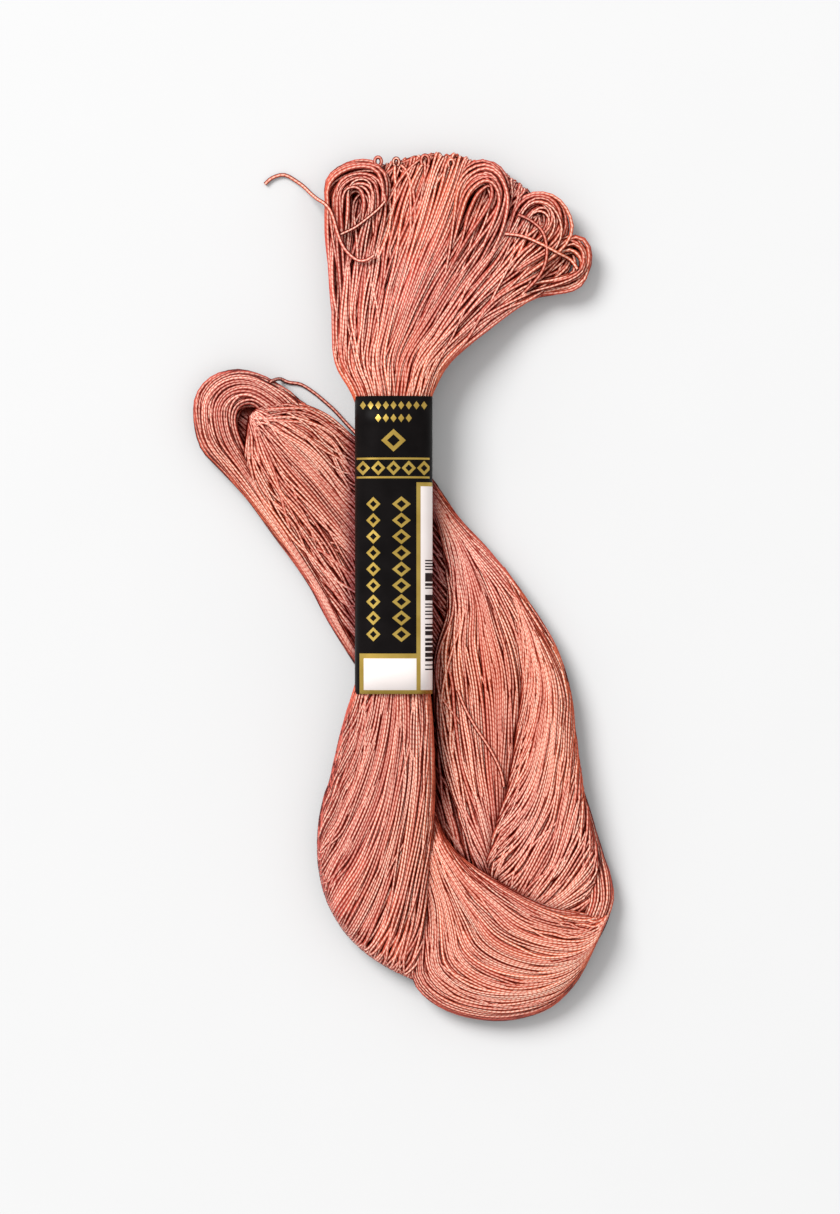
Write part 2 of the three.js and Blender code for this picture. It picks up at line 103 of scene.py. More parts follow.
# ---- the band's print; a box is its left, right, lower and upper edge ----
PRINT_REACH = 3.0  # the print ends this far below the middle of the band's height
RULES = (
    (2.55, 3.4, -21.4, 21.6),
    (2.55, 6.2, 20.8, 21.6),
    (-9.0, 6.2, -21.4, -20.5),
    (-9.0, 3.4, -14.1, -13.1),
    (-9.0, -8.15, -21.4, -13.1),
    (-9.6, 5.2, 26.2, 26.6),
    (-9.6, 5.2, 22.4, 22.8),
)
LABELS = ((-8.15, 2.55, -20.5, -14.1), (3.4, 6.2, -20.5, 20.8))
BAR_PANEL = (4.3, 6.2, -17.6, 6.7)
BARS_PER_MM = 3.4
# Rows of lozenges: the way they run, where one of them is, their pitch, half their length, the
# row's middle line, half their width, and the box that holds the row
LOZENGES = (
    ("x", -2.1, 1.55, 0.62, 37.2, 0.85, (-8.9, 4.7, 36.0, 38.4)),
    ("x", -2.1, 1.55, 0.62, 34.6, 0.85, (-6.0, 1.8, 33.4, 35.8)),
    ("x", -2.1, 3.1, 1.45, 24.5, 1.5, (-9.6, 5.2, 22.8, 26.2)),
    ("y", 4.0, 3.3, 1.45, -6.2, 1.45, (-8.2, -4.2, -10.8, 18.8)),
    ("y", 4.0, 3.3, 1.55, -0.5, 1.9, (-2.7, 1.7, -10.8, 18.8)),
    ("x", -2.1, 9.0, 2.5, 30.1, 2.3, (-5.0, 0.8, 27.4, 32.8)),
)
LOZENGE_HOLES = (
    ("x", -2.1, 3.1, 0.7, 24.5, 0.7, (-9.6, 5.2, 22.8, 26.2)),
    ("y", 4.0, 3.3, 0.7, -6.2, 0.7, (-8.2, -4.2, -10.8, 18.8)),
    ("y", 4.0, 3.3, 0.8, -0.5, 0.95, (-2.7, 1.7, -10.8, 18.8)),
    ("x", -2.1, 9.0, 1.3, 30.1, 1.2, (-5.0, 0.8, 27.4, 32.8)),
)

# A lock is a tress of threads lying side by side. Each row is a section of it: its two edges,
# its thickness, how far its threads have wound round it in degrees, and how far its middle
# bows forwards.
COLUMNS = ("ax", "ay", "az", "bx", "by", "bz", "t", "turn", "bow")

LEG = (
    (5.2, -18, 9.3, -9.6, -18, 9.3, 8.2, 0),
    (6.0, -27.0, 8.8, -11.2, -23.0, 8.6, 8.8, 2, 0.6),
    (6.4, -37.0, 7.8, -12.6, -27.8, 7.4, 9.6, 5, 1.6),
    (6.4, -47.5, 6.8, -13.7, -32.0, 6.2, 10.4, 9, 3.0),
    (6.0, -57.5, 6.0, -14.5, -35.6, 5.2, 10.6, 13, 4.6),
    (5.6, -66.0, 5.4, -15.2, -38.8, 4.6, 10.2, 17, 6.0),
    (5.2, -72.6, 4.8, -16.2, -41.6, 4.2, 9.4, 21, 7.2),
    (4.4, -77.2, 4.3, -16.8, -44.2, 3.9, 8.4, 24, 7.8),
    (3.6, -80.4, 3.7, -17.2, -46.2, 3.6, 7.6, 26, 8.0),
)

SWEEP = (
    (5.6, -41.0, 2.6, 2.4, -42.5, 2.6, 3.0, 0),
    (7.0, -46.5, 4.0, 3.0, -48.5, 3.8, 5.0, 0),
    (9.0, -51.2, 5.2, 3.2, -54.5, 3.8, 7.6, 0),
    (12.8, -55.3, 5.7, 3.2, -60.5, 3.6, 9.2, 0),
    (17.6, -58.5, 5.8, 3.2, -67.0, 3.5, 9.8, 0),
    (23.6, -61.6, 5.6, 2.0, -73.4, 3.4, 9.8, 0),
    (29.6, -64.2, 5.2, 1.8, -80.6, 3.4, 9.4, 0),
    (34.4, -65.4, 4.8, 8.0, -86.0, 3.3, 8.8, 0),
    (37.6, -65.9, 4.5, 18.6, -88.3, 3.2, 8.2, 0),
    (39.6, -66.1, 4.2, 28.2, -86.4, 3.1, 7.8, 0),
    (41.0, -66.2, 4.0, 34.2, -81.4, 3.0, 7.4, 0),
    (41.8, -66.2, 3.8, 37.6, -75.4, 3.0, 7.0, 0),
)

HOOK = (
    (29.0, -72.0, 3.4, 33.0, -80.0, 3.2, 5.0, 0),
    (34.6, -68.5, 3.4, 39.4, -72.4, 3.2, 5.4, 10),
    (36.2, -64.6, 3.4, 42.8, -64.8, 3.2, 5.6, 24),
    (36.0, -60.2, 3.4, 42.6, -59.4, 3.0, 5.2, 38),
    (35.4, -55.4, 3.2, 41.0, -54.4, 2.8, 4.4, 52),
    (34.2, -50.2, 2.8, 39.4, -49.2, 2.6, 3.8, 66),
    (33.4, -45.6, 2.4, 38.0, -44.6, 2.4, 3.2, 80),
    (33.0, -42.0, 2.2, 36.8, -41.0, 2.2, 3.0, 90),
)

CROSSING = (
    (9.6, -60.3, 2.0, 38.0, -60.3, 2.0, 4.6, 0),
    (4.6, -48.9, 1.8, 38.0, -47.5, 1.8, 4.2, 0),
    (1.2, -39.3, 1.7, 35.0, -35.3, 1.7, 4.0, 0),
    (-1.4, -30.7, 1.7, 33.0, -22.3, 1.7, 4.0, 0),
    (-5.4, -22.7, 1.6, 27.2, -9.3, 1.6, 3.8, 0),
    (-10.8, -14.7, 1.6, 20.2, 2.7, 1.6, 3.8, 0),
    (-14.8, -6.3, 1.6, 11.6, 13.7, 1.6, 3.8, 0),
    (-20.2, 3.3, 1.6, 3.2, 22.1, 1.6, 3.8, 0),
    (-25.8, 11.3, 1.6, -4.8, 27.7, 1.6, 3.8, 0),
    (-31.2, 18.1, 1.6, -13.8, 32.7, 1.6, 3.8, 0),
    (-35.8, 24.7, 1.6, -22.4, 37.7, 1.6, 3.8, 0),
    (-38.4, 31.7, 1.6, -29.8, 39.7, 1.6, 3.8, 0),
)

LIMB = (
    (-4.0, 20.0, 2.0, 0.8, 30.0, 2.0, 3.0, 0),
    (3.0, 17.0, 2.2, 6.2, 22.5, 2.0, 3.4, 2),
    (6.6, 12.0, 2.8, 11.6, 14.5, 2.6, 4.2, 4),
    (8.2, 4.0, 3.2, 17.6, 8.0, 3.0, 5.0, 7),
    (8.4, -5.0, 3.6, 23.2, 1.0, 3.4, 5.6, 10),
    (6.0, -13.5, 3.4, 28.0, -6.5, 3.6, 6.0, 14),
    (5.6, -21.5, 3.2, 30.6, -15.5, 3.7, 6.0, 18),
    (6.2, -29.5, 3.0, 30.2, -25.5, 3.7, 6.0, 22),
    (7.8, -37.5, 2.9, 28.2, -36.0, 3.6, 5.8, 27),
    (10.0, -45.0, 2.9, 27.0, -46.0, 3.4, 5.4, 32),
    (12.4, -52.0, 2.9, 26.0, -54.0, 3.2, 5.0, 37),
    (15.0, -58.5, 3.2, 25.0, -61.0, 2.8, 4.4, 42),
    (16.0, -65.0, 2.8, 24.0, -67.0, 2.6, 3.6, 46),
)

OVERLAY = (
    (19.0, 3.0, 3.6, 20.6, 4.6, 3.0, 2.4, 0),
    (21.0, -5.0, 4.4, 26.8, -4.2, 3.4, 3.6, -5),
    (22.6, -12.5, 5.2, 31.4, -12.0, 3.8, 4.8, -12),
    (23.6, -20.8, 5.8, 34.2, -20.8, 4.2, 5.6, -22),
    (22.6, -29.5, 6.2, 35.4, -30.0, 4.5, 6.0, -42),
    (21.4, -37.3, 6.4, 36.8, -39.5, 4.7, 6.2, -72),
    (19.6, -44.5, 6.4, 38.6, -47.5, 4.8, 6.2, -102),
    (17.6, -50.5, 6.2, 40.1, -54.0, 4.8, 6.0, -129),
    (16.6, -55.5, 5.6, 40.6, -60.6, 4.4, 5.6, -157),
    (17.4, -59.5, 4.6, 38.0, -67.0, 3.8, 4.8, -187),
    (18.0, -63.5, 3.4, 31.0, -71.6, 3.0, 3.8, -212),
)

LOBE = (
    (-15.0, 35.6, 2.0, -22.4, 25.0, 2.0, 2.6, 0),
    (-18.2, 38.2, 2.2, -24.8, 28.6, 2.2, 3.2, 3),
    (-21.8, 40.3, 2.6, -27.2, 32.0, 2.8, 4.2, 6),
    (-26.0, 42.5, 3.0, -29.0, 35.0, 3.4, 5.4, 10),
    (-30.6, 44.5, 3.1, -30.4, 36.7, 3.9, 6.2, 14),
    (-35.2, 45.1, 3.1, -31.8, 36.9, 4.0, 6.3, 18),
    (-39.8, 43.5, 3.1, -33.0, 36.3, 4.0, 6.3, 22),
    (-43.0, 39.9, 3.1, -33.6, 34.9, 4.0, 6.3, 26),
    (-43.4, 34.7, 3.1, -33.6, 33.1, 4.0, 6.3, 29),
    (-42.0, 29.1, 3.0, -32.8, 30.3, 3.6, 6.0, 31),
    (-38.0, 24.7, 2.8, -30.8, 25.7, 3.0, 5.4, 33),
    (-32.4, 18.7, 2.5, -27.4, 18.7, 2.4, 4.8, 35),
    (-26.8, 11.1, 2.3, -21.6, 9.7, 2.2, 4.4, 37),
    (-20.6, 2.7, 2.2, -15.4, -0.7, 2.0, 4.0, 39),
    (-15.0, -7.3, 2.0, -9.8, -11.3, 1.9, 3.8, 41),
    (-9.2, -16.7, 1.9, -4.2, -20.3, 1.9, 3.6, 43),
)

RAYS = (
    (-30.2, 36.6, 4.0, -31.8, 34.6, 4.0, 2.4, 0),
    (-28.4, 38.2, 4.0, -32.4, 30.8, 3.8, 4.4, 0, 0.2),
    (-23.4, 38.8, 3.4, -33.0, 25.0, 3.5, 5.2, 0, 0.6),
    (-18.4, 37.4, 3.0, -30.4, 17.4, 3.2, 5.2, 0, 1.0),
    (-13.8, 35.0, 2.6, -25.8, 9.4, 2.9, 4.8, 0, 1.0),
    (-9.8, 32.4, 2.3, -20.6, 1.0, 2.5, 4.0, 0, 0.8),
    (-6.0, 29.8, 2.1, -14.4, -7.6, 2.2, 3.8, 0, 0.4),
    (-2.4, 26.0, 2.0, -8.4, -16.0, 2.0, 3.6, 0),
)

FAN = (
    (-9.4, 36, 9.0, 5.0, 36, 9.0, 7.6, 0),
    (-11.0, 40.2, 9.0, 6.2, 40.2, 9.0, 8.2, 0),
    (-14.1, 45.7, 7.9, 9.6, 46.0, 7.9, 8.0, 0, 0.8),
    (-15.0, 52.7, 6.3, 16.2, 51.6, 6.3, 7.6, 0, 2.6),
    (-15.2, 60.7, 5.0, 23.0, 56.6, 4.8, 7.2, 0, 5.2),
    (-15.4, 68.7, 3.9, 29.8, 60.2, 3.8, 6.9, 0, 8.6),
    (-15.6, 76.8, 3.1, 34.2, 63.6, 3.1, 6.7, 0, 12.2),
    (-15.6, 80.8, 2.8, 35.6, 65.8, 2.8, 6.4, 0, 14.8),
)

CURL_LEFT = (
    (-11.0, 47.1, 4.8, -8.4, 47.7, 5.0, 2.0, 0),
    (-14.4, 57.7, 4.8, -10.4, 57.7, 5.2, 3.6, 6),
    (-15.6, 67.9, 4.4, -11.0, 69.1, 5.2, 4.6, 8),
    (-16.4, 77.3, 4.4, -10.4, 76.5, 5.4, 4.8, 10),
    (-16.8, 82.5, 4.4, -10.0, 79.7, 5.4, 5.2, 12),
    (-14.2, 85.9, 4.4, -9.4, 80.9, 5.6, 5.2, 14),
    (-9.2, 87.6, 4.6, -8.8, 81.1, 5.8, 5.2, 16),
    (-4.8, 86.7, 4.8, -8.4, 80.1, 5.8, 5.2, 18),
    (-3.2, 82.1, 5.0, -8.4, 78.5, 5.8, 5.2, 20),
    (-3.7, 75.7, 5.0, -8.9, 76.1, 5.6, 4.8, 22),
    (-5.2, 67.3, 4.8, -10.0, 69.3, 5.2, 4.4, 24),
    (-6.8, 56.7, 4.0, -10.6, 59.7, 4.2, 2.0, 26),
)

CURL_MIDDLE = (
    (2.8, 52.7, 5.4, 4.8, 52.7, 5.4, 2.0, 0),
    (4.8, 59.7, 6.0, 7.6, 59.7, 6.0, 4.0, 6),
    (7.8, 68.9, 5.6, 10.8, 69.3, 5.8, 4.6, 8),
    (9.8, 76.7, 5.4, 12.4, 75.9, 5.8, 4.8, 10),
    (10.8, 82.7, 5.2, 14.2, 79.3, 6.0, 5.0, 12),
    (13.4, 86.3, 5.0, 15.6, 80.8, 6.0, 5.2, 14),
    (17.4, 87.3, 5.0, 16.4, 81.2, 6.0, 5.2, 16),
    (20.8, 84.9, 5.0, 16.8, 80.4, 6.0, 5.2, 18),
    (22.2, 80.1, 5.0, 16.6, 78.9, 6.0, 5.2, 20),
    (21.2, 74.1, 5.0, 14.8, 76.3, 6.0, 5.0, 22),
    (18.2, 67.9, 5.0, 12.0, 72.1, 6.0, 4.8, 24),
    (14.4, 61.7, 5.4, 9.2, 66.7, 6.2, 4.2, 26),
    (10.4, 55.7, 4.6, 7.0, 59.7, 4.8, 2.0, 28),
)

CURL_RIGHT = (
    (7.4, 54.1, 5.4, 9.0, 53.3, 5.4, 1.8, 0),
    (12.8, 59.1, 5.0, 15.0, 57.9, 5.0, 4.0, 6),
    (17.8, 67.3, 4.6, 20.4, 65.7, 4.6, 4.6, 8),
    (20.8, 73.9, 4.4, 23.8, 72.1, 4.6, 4.6, 10),
    (22.6, 78.3, 4.4, 25.4, 75.5, 4.8, 4.8, 12),
    (25.9, 80.8, 4.4, 26.8, 77.3, 4.8, 4.8, 14),
    (30.3, 80.6, 4.4, 27.9, 77.1, 4.8, 4.8, 16),
    (33.4, 77.8, 4.4, 28.3, 75.9, 4.8, 4.8, 18),
    (34.6, 73.2, 4.4, 27.7, 73.9, 4.8, 4.8, 20),
    (32.2, 68.7, 4.4, 25.6, 71.1, 4.8, 4.6, 22),
    (26.4, 64.5, 4.4, 21.6, 66.9, 4.8, 4.4, 24),
    (19.6, 59.3, 3.6, 17.2, 60.9, 3.8, 2.0, 26),
)

CURL_LOW = (
    (6.0, 50.1, 5.6, 6.8, 49.5, 5.6, 1.8, 0),
    (13.8, 56.5, 5.2, 15.2, 55.3, 5.2, 3.8, 6),
    (22.8, 63.9, 4.2, 24.4, 62.1, 4.2, 4.4, 8),
    (29.2, 69.3, 4.0, 30.8, 66.9, 4.0, 4.4, 10),
    (33.4, 72.4, 3.8, 34.0, 68.5, 3.8, 4.4, 12),
    (36.6, 71.4, 3.6, 35.6, 67.7, 3.8, 4.4, 14),
    (37.7, 67.8, 3.6, 36.1, 66.3, 3.8, 4.4, 16),
    (37.2, 64.6, 3.6, 35.7, 65.0, 3.8, 4.4, 18),
    (35.2, 62.1, 3.6, 33.8, 64.1, 3.8, 4.4, 20),
    (31.2, 60.9, 3.6, 30.4, 63.3, 3.8, 4.4, 22),
    (25.4, 59.9, 3.8, 24.2, 62.1, 4.0, 4.2, 24),
    (18.6, 56.1, 4.6, 17.4, 57.9, 4.8, 3.6, 26),
    (11.0, 52.1, 5.2, 10.2, 53.3, 5.4, 1.8, 28),
)

# The loose end: over the left curl, down its side and out along the surface
LOOSE_END = (
    (-6.1, 67.9, 8.5), (-7.8, 66.9, 8.35), (-9.8, 67.1, 7.95), (-12.2, 69.4, 7.95),
    (-13.5, 72.4, 8), (-14.3, 75.2, 7.95), (-15.1, 77.2, 7.8), (-16.3, 78.6, 7.1),
    (-17.7, 79.6, 5.1), (-19.1, 80.9, 2.8), (-20.3, 82.2, 1), (-21.8, 83.4, 0.46),
    (-24.5, 84.9, 0.46), (-27, 84.3, 0.46), (-28.5, 83, 0.46),
)

# Single threads that lie over the others, as (x, y); their height comes from what they cross
STRAYS = (
    ((-3.9, 78.9), (-5.2, 77.4), (-7.6, 75.4), (-10.0, 73.7), (-13.0, 72.2)),
    ((23.3, 76.3), (25.9, 75.1), (28.2, 72.9), (29.1, 69.6), (28.8, 66.4), (27.4, 63.6), (24.6, 60.6)),
    ((20.6, 72.4), (24.2, 71.9), (28.0, 70.3), (31.4, 68.5), (34.0, 67.2), (35.4, 65.2)),
    ((11.0, -20.6), (12.4, -24.2), (14.6, -28.2), (17.4, -32.4), (19.6, -36.8), (20.4, -40.4)),
    ((-27.4, 42.3), (-25.5, 43.1), (-23.7, 42.4), (-21.2, 42.0), (-18.6, 40.4), (-16.4, 38.6), (-14.2, 36.6),
     (-12.2, 34.4), (-9.2, 31.2)),
)

# Tiny loops that stand out of the fan's upper edge: where, how wide and how high
TOP_LOOPS = ((-5.3, 87.3, 0.7, 0.9), (-1.6, 87.2, 0.6, 0.8), (4.3, 87.4, 0.8, 1.2), (9.6, 86.9, 0.6, 0.8))

# Each lock: its table, how many threads it holds, and how their way wanders. A bunch is a group
# of threads that cling together: its width, and how strongly they gather. closing is the length
# over which the threads turn round under the far end, ragged how unevenly they end, and stray how
# far each thread of a loose curl goes its own way.
LOCKS = {
    "leg": {"rows": LEG, "threads": 250, "wander": 0.3, "bunch": (3.6, 0.22), "closing": 3.2},
    "sweep": {"rows": SWEEP, "threads": 290, "wander": 0.25, "bunch": (3.4, 0.26), "closing": 3.2},
    "hook": {"rows": HOOK, "threads": 50, "wander": 0.3, "bunch": (3.0, 0.3)},
    "crossing": {"rows": CROSSING, "threads": 190, "wander": 0.25, "bunch": (4.0, 0.15)},
    "limb": {"rows": LIMB, "threads": 225, "wander": 0.3, "bunch": (3.8, 0.4)},
    "overlay": {"rows": OVERLAY, "threads": 240, "wander": 0.2, "bunch": (3.4, 0.12)},
    "lobe": {"rows": LOBE, "threads": 110, "wander": 0.5, "bunch": (3.2, 0.55)},
    "rays": {"rows": RAYS, "threads": 290, "wander": 0.18, "bunch": (3.2, 0.25)},
    "fan": {"rows": FAN, "threads": 340, "wander": 0.4, "bunch": (3.4, 0.4), "closing": 3.4, "ragged": 0.35},
    "curl_left": {"rows": CURL_LEFT, "threads": 36, "wander": 1.3, "bunch": (2.6, 0.5), "stray": 0.7},
    "curl_middle": {"rows": CURL_MIDDLE, "threads": 34, "wander": 1.3, "bunch": (2.6, 0.5), "stray": 0.7},
    "curl_right": {"rows": CURL_RIGHT, "threads": 32, "wander": 1.3, "bunch": (2.6, 0.5), "stray": 0.7},
    "curl_low": {"rows": CURL_LOW, "threads": 28, "wander": 1.3, "bunch": (2.6, 0.5), "stray": 0.7},
}


# ---------------------------------------------------------------- laying the threads


def smooth_rows(rows, per_row):
    """Values between the rows of a table, on a smooth curve through them."""
    longest = max(len(row) for row in rows)
    rows = np.array([tuple(row) + (0,) * (longest - len(row)) for row in rows], dtype=float)
    padded = np.vstack([rows[:1], rows, rows[-1:]])
    made = []
    for i in range(len(rows) - 1):
        p, q, r, s = padded[i : i + 4]
        for u in np.linspace(0, 1, per_row, endpoint=False):
            even = 2 * q + (r - p) * u
            made.append(0.5 * (even + (2 * p - 5 * q + 4 * r - s) * u**2 + (3 * q - p - 3 * r + s) * u**3))
    made.append(rows[-1])
    return np.array(made)


def even_sections(rows, step, closing=0):
    """Sections an even step apart along the longer edge of a lock, closer over its closing end."""
    fine = smooth_rows(rows, 16)
    along_a = np.linalg.norm(np.diff(fine[:, 0:3], axis=0), axis=1)
    along_b = np.linalg.norm(np.diff(fine[:, 3:6], axis=0), axis=1)
    reach = np.concatenate([[0], np.cumsum(np.maximum(np.maximum(along_a, along_b), 1e-6))])
    open_reach = reach[-1] - closing
    at = np.linspace(0, open_reach, max(4, int(round(open_reach / step)) + 1))
    if closing:
        at = np.concatenate([at, open_reach + closing * np.sin(CLOSING_ANGLES)])
    made = [np.interp(at, reach, fine[:, k]) for k in range(fine.shape[1])]
    made += [np.zeros(len(at))] * (len(COLUMNS) - len(made))
    return np.column_stack(made)


def signed_power(v, power):
    return np.sign(v) * np.abs(v) ** power


def wrapped(angle):
    return (angle + math.pi) % (2 * math.pi) - math.pi


def blurred(values, reach, passes=2):
    """values smoothed along its first axis over reach entries each way."""
    for _ in range(passes):
        padded = np.concatenate([values[:1]] * reach + [values] + [values[-1:]] * reach)
        total = np.cumsum(np.concatenate([np.zeros_like(padded[:1]), padded]), axis=0)
        width = 2 * reach + 1
        values = (total[width:] - total[:-width]) / width
    return values


class Lay:
    """The threads of one lock, as points in each of its sections.

    disc holds each thread's place in a unit disc that is turned and stretched to the section, so
    that a thread which only follows the lock keeps one place.
    """

    def __init__(self, rows, threads, seed, closing=0):
        self.sections = even_sections(rows, STEP, closing)
        self.close = np.ones(len(self.sections))
        if closing:
            self.close[-len(CLOSING_ANGLES) :] = np.cos(CLOSING_ANGLES)
        self.random = np.random.default_rng(seed)
        edge_a, edge_b = self.sections[:, 0:3], self.sections[:, 3:6]
        self.middle = (edge_a + edge_b) / 2
        self.across = (edge_b - edge_a) / 2
        self.half_width = np.maximum(np.linalg.norm(self.across, axis=1) - THREAD / 2, LOCK_LEAST)
        self.half_height = np.maximum(self.sections[:, 6] / 2 - THREAD / 2, LOCK_LEAST)
        self.turn = np.radians(self.sections[:, 7])
        ahead = np.gradient(self.middle, axis=0)
        forward = np.stack([-self.across[:, 1], self.across[:, 0], 0 * self.across[:, 0]], axis=1)
        forward *= np.sign((forward * ahead).sum(axis=1, keepdims=True))
        forward /= np.linalg.norm(forward, axis=1, keepdims=True)
        self.bow = forward * self.sections[:, 8:9]
        order = np.arange(threads)
        radius = np.sqrt((order + 0.5) / threads)
        angle = order * math.pi * (3 - math.sqrt(5))
        place = np.stack([radius * np.cos(angle), radius * np.sin(angle)], axis=1)
        self.disc = np.repeat(place[None], len(self.sections), axis=0).astype(np.float32)

    def to_section(self):
        radius = np.hypot(self.disc[..., 0], self.disc[..., 1])
        place = wrapped(np.arctan2(self.disc[..., 1], self.disc[..., 0]) - self.turn[:, None])
        angle = np.sign(place) * np.interp(np.abs(place), PLACE_ROUND, ANGLE_ROUND)
        x = self.half_width[:, None] * radius * signed_power(np.cos(angle), LOCK_SQUARENESS)
        z = self.half_height[:, None] * radius * signed_power(np.sin(angle), LOCK_SQUARENESS)
        return np.stack([x, z], axis=-1).astype(np.float32)

    def from_section(self, place):
        c = signed_power(place[..., 0] / self.half_width[:, None], 1 / LOCK_SQUARENESS)
        s = signed_power(place[..., 1] / self.half_height[:, None], 1 / LOCK_SQUARENESS)
        radius = np.minimum(np.hypot(c, s) ** LOCK_SQUARENESS, 1)
        angle = np.arctan2(s, c)
        angle = np.sign(angle) * np.interp(np.abs(angle), ANGLE_ROUND, PLACE_ROUND) + self.turn[:, None]
        self.disc = np.stack([radius * np.cos(angle), radius * np.sin(angle)], axis=-1).astype(np.float32)

    def drift(self, amount, reach):
        """Each thread wanders sideways and up and down along its length."""
        noise = self.random.normal(size=self.disc.shape)
        noise = blurred(noise, reach)
        noise *= amount / max(noise.std(), 1e-9)
        place = self.to_section() + noise
        self.from_section(place)

    def settle(self, rounds, pitch, swell, stiffness=0.5):
        """Threads push each other apart to their pitch and outwards to the lock's surface."""
        for _ in range(rounds):
            place = self.to_section()
            push = np.zeros_like(place)
            for i in range(len(place)):
                gap = place[i, :, None] - place[i, None]
                distance = np.sqrt((gap**2).sum(axis=-1)) + 1e-4
                close = np.maximum(pitch - distance, 0) / distance
                push[i] = (gap * close[..., None]).sum(axis=1)
            self.from_section((place + push * stiffness / 2) * (1 + swell))
            inner = (self.disc[:-2] + self.disc[2:]) / 2
            self.disc[1:-1] = (self.disc[1:-1] + inner) / 2

    def ease(self, rounds):
        """Takes the small kinks out of the threads."""
        for _ in range(rounds):
            self.disc[1:-1] = (self.disc[:-2] + self.disc[1:-1] + self.disc[2:]) / 3

    def bunch(self, width, strength, depth):
        """Gathers the outer threads into bunches with a valley between each."""
        around = math.pi * (self.half_width + self.half_height)
        count = max(3, int(round(np.median(around) / width)))
        radius = np.hypot(self.disc[..., 0], self.disc[..., 1])
        angle = np.arctan2(self.disc[..., 1], self.disc[..., 0])
        sway = blurred(self.random.normal(size=(len(self.disc), 3)), 8)
        sway *= 1.4 / max(sway.std(), 1e-9)
        wave = np.zeros_like(angle)
        for k, (share, more) in enumerate(((0.55, 0), (0.3, 3), (0.3, 7))):
            folds = count + more
            phase = folds * angle + sway[:, k : k + 1] + 2.1 * k
            wave = wave + share * np.sin(phase)
            angle = angle + strength * share / folds * np.cos(phase)
        sunk = depth * (1 - wave) / 2 / self.half_height[:, None]
        radius = np.clip(radius * (1 - sunk * (radius > 0.55)), 0, 1)
        self.disc = np.stack([radius * np.cos(angle), radius * np.sin(angle)], axis=-1).astype(np.float32)

    def depth(self):
        """How far each thread lies under the surface where it comes nearest to it."""
        radius = np.hypot(self.disc[..., 0], self.disc[..., 1])
        return ((1 - radius) * self.half_height[:, None]).min(axis=0)

    def paths(self):
        """The threads as [thread, point, xyz], in millimetres."""
        place = self.to_section()
        place[..., 1] *= self.close[:, None]
        side = self.across / np.linalg.norm(self.across, axis=1, keepdims=True)
        points = self.middle[:, None] + side[:, None] * place[..., :1]
        points += self.bow[:, None] * (1 - (place[..., :1] / self.half_width[:, None, None]) ** 2)
        points[..., 2] += place[..., 1]
        return points.transpose(1, 0, 2)


def ragged_end(paths, amount, seed):
    """Shifts each thread's rounded end a little out or in, as separate loops lie."""
    random = np.random.default_rng(seed)
    ends = len(CLOSING_ANGLES)
    ahead = paths[:, -ends] - paths[:, -ends - 2]
    ahead[:, 2] = 0
    ahead /= np.linalg.norm(ahead, axis=1, keepdims=True)
    shift = random.normal(0, amount, len(paths)).clip(-3 * amount, 2 * amount)
    growth = np.sin(CLOSING_ANGLES)
    paths[:, -ends:] += ahead[:, None] * (shift[:, None] * growth)[..., None]
    return paths


def lay_threads(name):
    """The paths of a named lock's threads."""
    lock = LOCKS[name]
    seed = SEED + sorted(LOCKS).index(name)
    lay = Lay(lock["rows"], lock["threads"], seed, lock.get("closing", 0))
    lay.drift(lock["wander"], reach=9)
    lay.settle(rounds=22, pitch=PACKED, swell=0.04)
    width, strength = lock["bunch"]
    lay.bunch(width, strength, 0.9 * strength)
    lay.drift(0.12, reach=5)
    lay.settle(rounds=3, pitch=PACKED * 0.9, swell=0)
    lay.ease(rounds=2)
    paths = lay.paths()
    if "ragged" in lock:
        paths = ragged_end(paths, lock["ragged"], seed + RAGGED_SEED)
    if "stray" in lock:
        own_way = np.random.default_rng(seed + STRAY_SEED).normal(size=paths.shape)
        own_way = blurred(own_way.transpose(1, 0, 2), 6)
        own_way *= lock["stray"] / own_way.std() * np.array([1, 1, 0.35])
        paths = paths + own_way.transpose(1, 0, 2)
    paths = paths[lay.depth() < SHELL]
    paths[..., 2] = np.maximum(paths[..., 2], THREAD / 2)
    return paths


